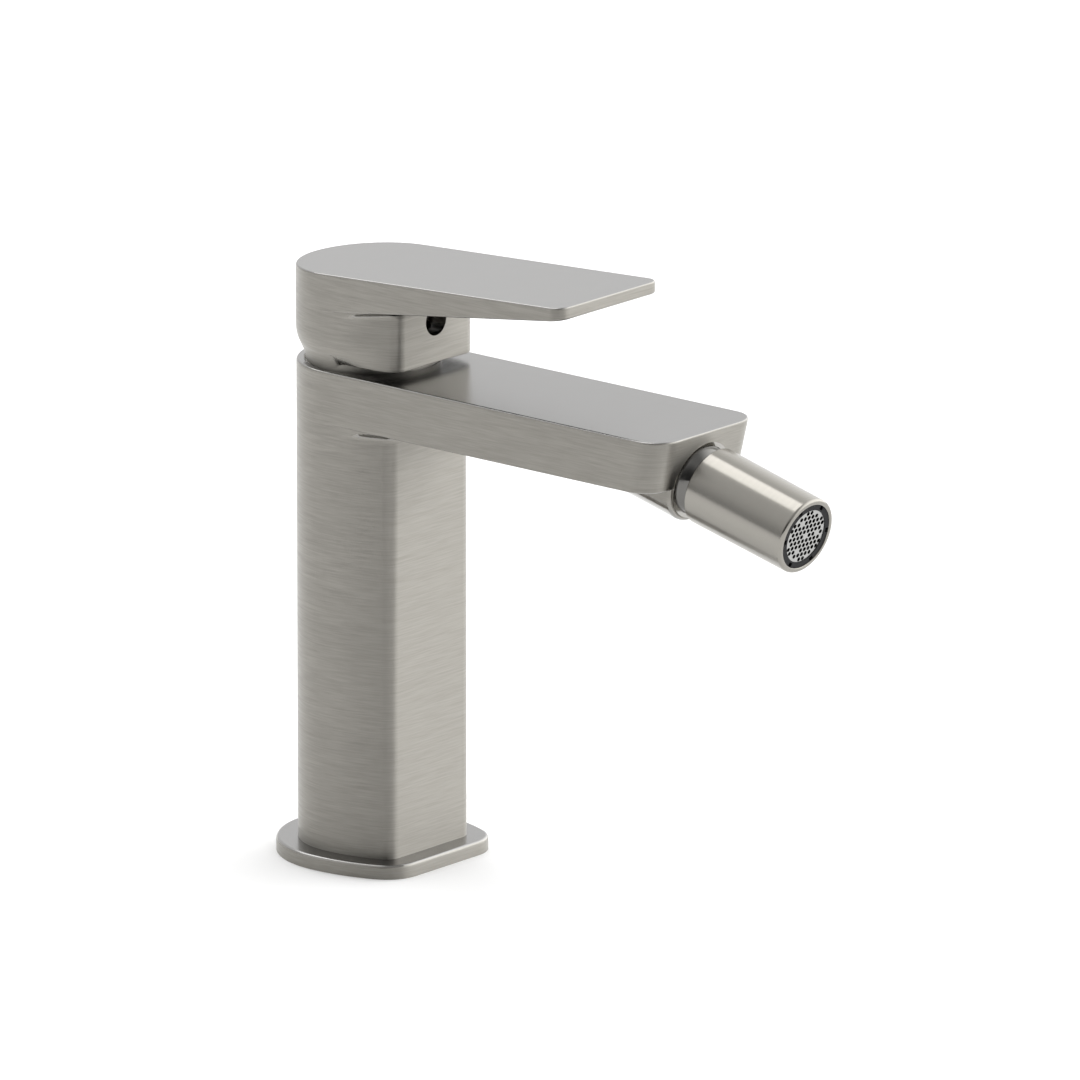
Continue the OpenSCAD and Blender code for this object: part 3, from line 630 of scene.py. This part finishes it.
def bowl_room():
    """The bowl under the hub, and the thread of the ring nut below it."""
    profile = [(0, NUT_FLOOR), (NUT_R, NUT_FLOOR), (NUT_R, BOWL_FLOOR)]
    low = math.asin((PIVOT_Z - BOWL_FLOOR) / BOWL_R)
    high = math.asin((PIVOT_Z - BODY_TOP - JOIN) / BOWL_R)
    for i in range(BOWL_STEPS + 1):
        a = low + (high - low) * i / BOWL_STEPS
        profile.append((BOWL_R * math.cos(a), PIVOT_Z - BOWL_R * math.sin(a)))
    profile.append((0, PIVOT_Z - BOWL_R * math.sin(high)))
    return revolve("bowl_room", profile)


def make_body():
    """Column, spout, boss and spigot, less the bowl, the socket and the holes."""
    body = combine(column_form(), spout_form(), "UNION")
    body = combine(body, boss_form(), "UNION")
    spigot = pillar("spigot", 0, 0, SPIGOT_R, 0, FLANGE_TOP + PAST)
    body = combine(body, spigot, "UNION")
    body = combine(body, bowl_room(), "DIFFERENCE")
    mouth = BALL_INSET + JOIN
    socket = [(0, -SOCKET_DEPTH), (SOCKET_R, -SOCKET_DEPTH), (SOCKET_R, mouth), (0, mouth)]
    body = combine(body, along_nozzle(revolve("socket", socket)), "DIFFERENCE")
    for name, x, y, r, depth in (
        ("left_inlet", -INLET_X, INLET_Y, INLET_R, INLET_DEPTH),
        ("right_inlet", INLET_X, INLET_Y, INLET_R, INLET_DEPTH),
        ("stud_hole", 0, STUD_Y, STUD_R, STUD_DEPTH),
    ):
        hole = pillar(name, x, y, r, -PAST, depth, INLET_STEPS)
        body = combine(body, hole, "DIFFERENCE")
    body.name = "body_shell"
    return body


def make_flange():
    """The plate under the column, with the spigot's hole and the seal's groove."""
    rings = [ring_at(column_plan(-FLANGE_OUT), 0)]
    rings += [ring_at(column_plan(inset - FLANGE_OUT), FLANGE_TOP - depth)
              for depth, inset in rounding(FLANGE_EDGE_R)[::-1]]
    flange = loft("flange_plate", rings)
    hole = pillar("spigot_hole", 0, 0, SPIGOT_R + SEAT_GAP, -PAST, FLANGE_TOP + PAST)
    flange = combine(flange, hole, "DIFFERENCE")
    inner, outer = SEAL_R - SEAL_W / 2, SEAL_R + SEAL_W / 2
    groove = [(inner, -PAST), (outer, -PAST), (outer, SEAL_T), (inner, SEAL_T)]
    flange = combine(flange, revolve("seal_groove", groove, closed=True), "DIFFERENCE")
    flange.name = "flange_plate"
    return flange


def lever_form():
    """The blade, which thins out to the front between two sloping faces."""
    def ring(z, rise, inset):
        return ring_at(bar_plan(LEVER_R, LEVER_REACH, LEVER_CORNER_R, inset), z, rise)

    edge = rounding(LEVER_EDGE_R)
    rings = [ring(LEVER_UNDER + depth, LEVER_UNDER_RISE, inset) for depth, inset in edge]
    rings += [ring(LEVER_OVER - depth, LEVER_TOP_RISE, inset) for depth, inset in edge[::-1]]
    return loft("lever", rings)


def curve_share(y):
    """How far the hub's skin follows its curve: all at the back, not at all in front."""
    return eased(1 + y / HUB_FRONT)


def hub_ring(inset, z):
    """The hub's plan, drawn in at the back, and less and less along the sides."""
    points = []
    for (x, y), (drawn_x, drawn_y) in zip(hub_plan(0), hub_plan(inset)):
        share = curve_share(y)
        points.append((x + share * (drawn_x - x), y + share * (drawn_y - y), z))
    return points


def hub_form():
    """Round at the foot, then swelling out to the full plan, all in one skin."""
    curve_top = PIVOT_Z - HUB_CURVE_DROP
    foot_angle = math.acos(1 - (LEVER_R - HUB_FOOT_R) / HUB_CURVE_R)
    plan = hub_plan(0)

    def swell(k, angle):
        """The point of the skin over plan point k at an angle down the curve."""
        inset = HUB_CURVE_R * (1 - math.cos(angle))
        return Vector(hub_ring(inset, curve_top - HUB_CURVE_R * math.sin(angle))[k])

    # For each plan point, where the foot ends and where the curve takes over
    joins = []
    for k, (x, y) in enumerate(plan):
        ease = eased((curve_share(y) - FOOT_EASE_FROM) / (1 - FOOT_EASE_FROM))
        angle = foot_angle - FOOT_EASE * ease
        top = swell(k, angle)
        rise = swell(k, angle - TANGENT_STEP) - top
        low = Vector((x, y, 0)) * (HUB_FOOT_R / math.hypot(x, y))
        low.z = top.z - FOOT_RISE - BACK_BLEND * ease
        joins.append((angle, low, top, rise.normalized()))

    rings = [[(x * HUB_FOOT_R / math.hypot(x, y), y * HUB_FOOT_R / math.hypot(x, y), HUB_FOOT_Z)
              for x, y in plan]]
    for step in range(FOOT_STEPS):
        ring = []
        for _, low, top, rise in joins:
            pull = FOOT_PULL * (top - low).length
            ring.append(curve_point(step / FOOT_STEPS, low, Vector((0, 0, pull)),
                                    top, rise * pull))
        rings.append(ring)
    for i in range(HUB_STEPS, -1, -1):
        rings.append([swell(k, join[0] * i / HUB_STEPS) for k, join in enumerate(joins)])

    def spread(out, z):
        wide = flared(plan, hub_plan(-out), LEVER_R - FLARE_INSET)
        return ring_at(wide, z, LEVER_UNDER_RISE)

    rings += [spread(out, LEVER_UNDER - depth) for out, depth in rounding(HUB_FLARE_R)]
    rings.append(spread(HUB_FLARE_R, LEVER_UNDER + JOIN))
    return loft("hub", rings)


def make_lever():
    """Blade and hub, less the rooms over the cartridge and the screw's hole."""
    lever = combine(lever_form(), hub_form(), "UNION")
    room = pillar("hub_room", 0, 0, HUB_BORE_R, HUB_FOOT_Z - PAST, PIVOT_Z + HUB_ROOM_H,
                  ROUND_STEPS)
    lever = combine(lever, room, "DIFFERENCE")
    ears = pillar("ears_room", 0, 0, EARS_ROOM_R, HUB_FOOT_Z - PAST, PIVOT_Z + EARS_ROOM_H)
    lever = combine(lever, ears, "DIFFERENCE")
    near, far = HUB_BORE_R - PAST, HUB_FRONT + SCREW_HOLE_PAST
    hole = revolve("screw_hole", [(0, near), (SCREW_HOLE_R, near), (SCREW_HOLE_R, far),
                                  (0, far)], HOLE_STEPS)
    hole.data.transform(Matrix.Translation((0, 0, (PIVOT_Z + SCREW_H) * MM))
                        @ Matrix.Rotation(math.pi / 2, 4, "X"))
    lever = combine(lever, hole, "DIFFERENCE")
    lever.name = "lever_shell"
    return lever


def make_nozzle():
    """The nozzle's tube, bored for the neck behind and for the aerator in front."""
    rear = BALL_INSET + NOZZLE_GAP
    front = rear + NOZZLE_LEN
    profile = [(NECK_R, rear)]
    profile += [(NOZZLE_REAR_R - inset, rear + depth)
                for depth, inset in rounding(NOZZLE_REAR_EDGE_R)]
    profile += [(NOZZLE_R - inset, front - depth)
                for depth, inset in rounding(NOZZLE_FRONT_EDGE_R)[::-1]]
    profile += [(AERATOR_R + inset, front - depth)
                for depth, inset in rounding(MOUTH_EDGE_R)]
    profile += [(AERATOR_R, AERATOR_BACK), (NECK_R, AERATOR_BACK)]
    return along_nozzle(revolve("nozzle_tube", profile, NOZZLE_STEPS, closed=True))


place(make_body(), "mixer", "mixer_body", level_brush)
place(make_flange(), "mixer", "base_flange", level_brush)
place(make_lever(), "lever", "lever_handle", level_brush)
place(make_nozzle(), "nozzle", "nozzle_body", turned_brush)

CARRIED = {
    "base_seal": black_rubber,
    "cartridge_housing": dark_plastic,
    "cartridge_base": dark_plastic,
    "port_seals": black_rubber,
    "fixed_disc": ceramic,
    "moving_disc": ceramic,
    "disc_driver": dark_plastic,
    "cartridge_rotor": dark_plastic,
    "rotor_seal": black_rubber,
    "stem": steel,
    "stem_pin": steel,
    "ring_nut": brass,
    "set_screw": steel,
    "socket_ring": bright,
    "rear_seat": dark_plastic,
    "seat_o_ring": black_rubber,
    # painted shade on the ball in the socket's gap
    "swivel_ball": ball_painted_shade,
    "aerator_housing": dark_plastic,
    # painted shade on the walls of the plate's holes
    "aerator_plate": plate_steel_painted_hole_shade,
    "aerator_screens": dark_plastic,
    "aerator_gasket": black_rubber,
}
for node, material in CARRIED.items():
    dress(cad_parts[node], material)


# The stage: a white floor that keeps the shadow, and soft light all round.
# From here on, places and sizes are in metres.

scene = bpy.context.scene
scene.view_settings.view_transform = "Standard"

# An even room with soft lights and one dim place: each has the direction it
# lies in, the cosine at which it begins, and what it adds to the room's light.
ROOM_LIGHT = 0.54
ROOM_GLOWS = (
    ((0.73, 0.63, 0.25), 0.0, 0.42),       # wide, behind the object as the photo shows it
    ((0.83, -0.54, 0.15), 0.3, 2.2),       # the main light, in front on the right
    ((-0.90, -0.30, 0.10), 0.6, -0.45),    # the dim place, on the left
    ((-0.6, 0.35, 0.72), 0.7, 0.4),        # high up, behind on the left
    ((0.55, 0.55, 0.6), 0.6, 0.15),        # high up, behind on the right
)
world = bpy.data.worlds.new("studio")
world.use_nodes = True
scene.world = world
room = world.node_tree
sky = room.nodes["Background"]
sky.inputs["Color"].default_value = (1, 1, 1, 1)
looking = room.nodes.new("ShaderNodeTexCoord").outputs["Generated"]
brightness = ROOM_LIGHT
for towards, start, strength in ROOM_GLOWS:
    facing = along(room, looking, Vector(towards).normalized())
    glow = ramp(room, facing, start, 1.0, 0.0, strength, "SMOOTHSTEP")
    brightness = calc(room, "ADD", glow, brightness)
room.links.new(brightness, sky.inputs["Strength"])

FLOOR_HALF = 6.0
PAPER_WHITE = (0.99, 0.99, 0.99, 1)
PAPER_ROUGHNESS = 0.9
floor_mesh = bmesh.new()
bmesh.ops.create_grid(floor_mesh, x_segments=1, y_segments=1, size=FLOOR_HALF)
floor = new_object("studio_floor", floor_mesh)
paper, _, paper_shader = new_material("white_paper")
paper_shader.inputs["Base Color"].default_value = PAPER_WHITE
paper_shader.inputs["Roughness"].default_value = PAPER_ROUGHNESS
dress(floor, paper)

# The camera of the photo, worked out from its outlines, with the picture's centre on TARGET
AZIMUTH, ELEVATION, DISTANCE = math.radians(-49.5), math.radians(15.5), 5.0
TARGET = Vector((0.0, -0.0597, 0.0984))
SENSOR, LENS, SIGHT = 36.0, 615.0, 40.0
back = Vector((math.sin(AZIMUTH) * math.cos(ELEVATION),
               -math.cos(AZIMUTH) * math.cos(ELEVATION), math.sin(ELEVATION)))
camera = bpy.data.cameras.new("photo_camera")
camera.sensor_width = SENSOR
camera.lens = LENS
camera.clip_end = SIGHT
eye = bpy.data.objects.new("photo_camera", camera)
scene.collection.objects.link(eye)
eye.location = TARGET + back * DISTANCE
eye.rotation_euler = back.to_track_quat("Z", "Y").to_euler()
scene.camera = eye

# One broad soft lamp, high behind the object, aimed at the floor under the spout
LAMP_POWER, LAMP_SIZE = 11.5, (0.95, 1.6)
LAMP_AT, LAMP_AIM = Vector((0.18, 0.77, 1.7)), Vector((0, -0.06, 0.0))
lamp = bpy.data.lights.new("overhead_soft", "AREA")
lamp.energy = LAMP_POWER
lamp.shape = "RECTANGLE"
lamp.size, lamp.size_y = LAMP_SIZE
lamp_stand = bpy.data.objects.new("overhead_soft", lamp)
scene.collection.objects.link(lamp_stand)
lamp_stand.location = LAMP_AT
lamp_stand.rotation_euler = (LAMP_AIM - LAMP_AT).to_track_quat("-Z", "Y").to_euler()
